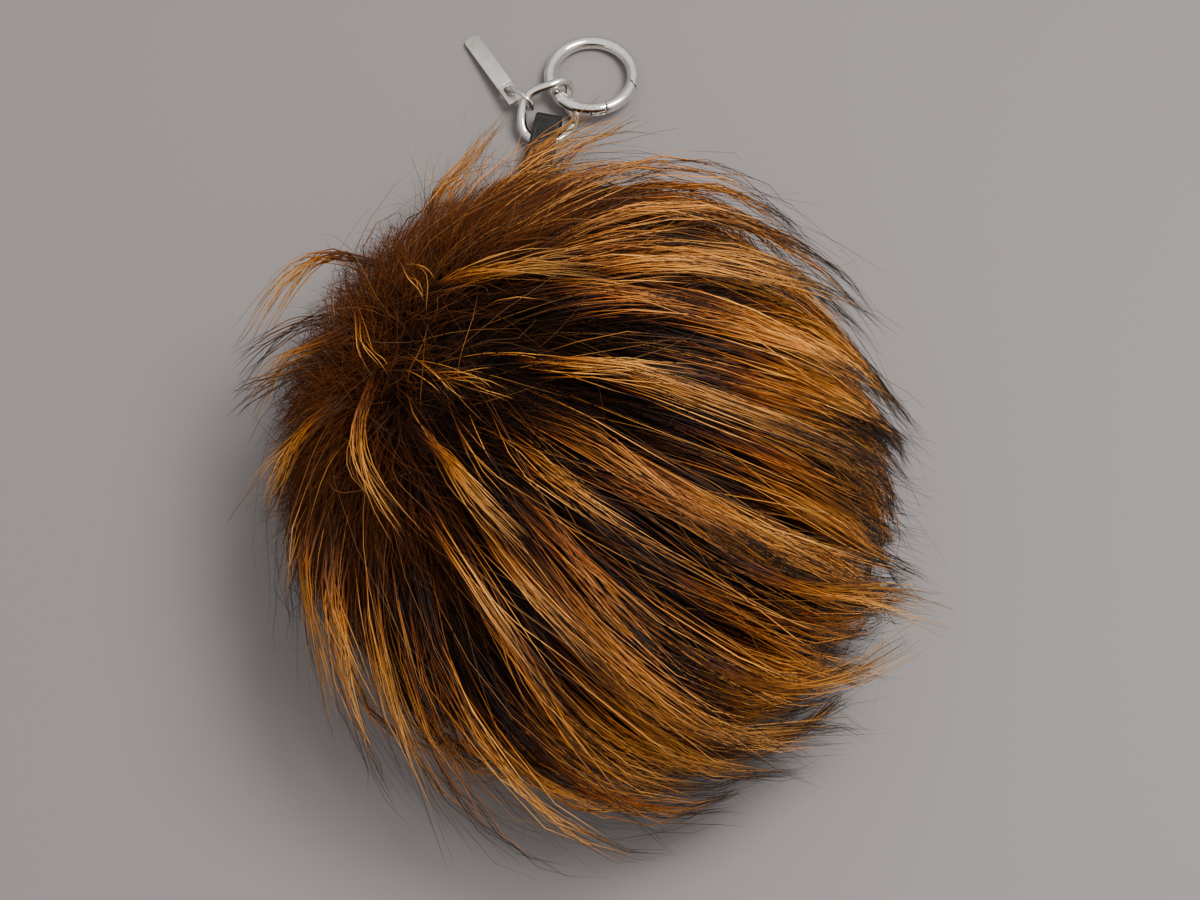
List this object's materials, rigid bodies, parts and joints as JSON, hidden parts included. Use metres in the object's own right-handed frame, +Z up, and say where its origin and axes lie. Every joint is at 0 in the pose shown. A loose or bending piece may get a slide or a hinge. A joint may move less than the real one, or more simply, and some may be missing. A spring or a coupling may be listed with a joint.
{
  "type": "fur pom pom charm",
  "caption": "Round fur pompom charm on a short leather strap, with a wire link, a spring gate ring that clips to a bag, and a slim flat tag.",
  "frame": {"origin": "middle of the flat spot under the pompom, on the surface it lies on", "axes": "+Y along the surface from the pompom to its ring, +Z up from the surface, +X to the side that the fur is combed to"},
  "size_m": [0.1589, 0.2378, 0.1024],
  "materials": {
    "fur": "long dyed fur, near-black at the roots and tips",
    "leather": "glossy black",
    "nickel": "polished",
    "tag": "satin"
  },
  "bodies": {
    "charm": {"fur_pompom": "fur", "leather_loop": "leather", "oval_link": "nickel", "ring_body": "nickel", "tag_link": "nickel", "metal_tag": "tag"},
    "gate": {"ring_gate": "nickel"}
  },
  "joints": [
    {"name": "gate_hinge", "type": "hinge", "parent": "charm", "child": "gate", "pos_m": [0.01673, 0.11323, 0.00594], "axis": [0, 0.1736, 0.9848], "range_deg": [0, 30], "stiffness_Nm_per_rad": 0.005, "springref_deg": -11.46}
  ]
}
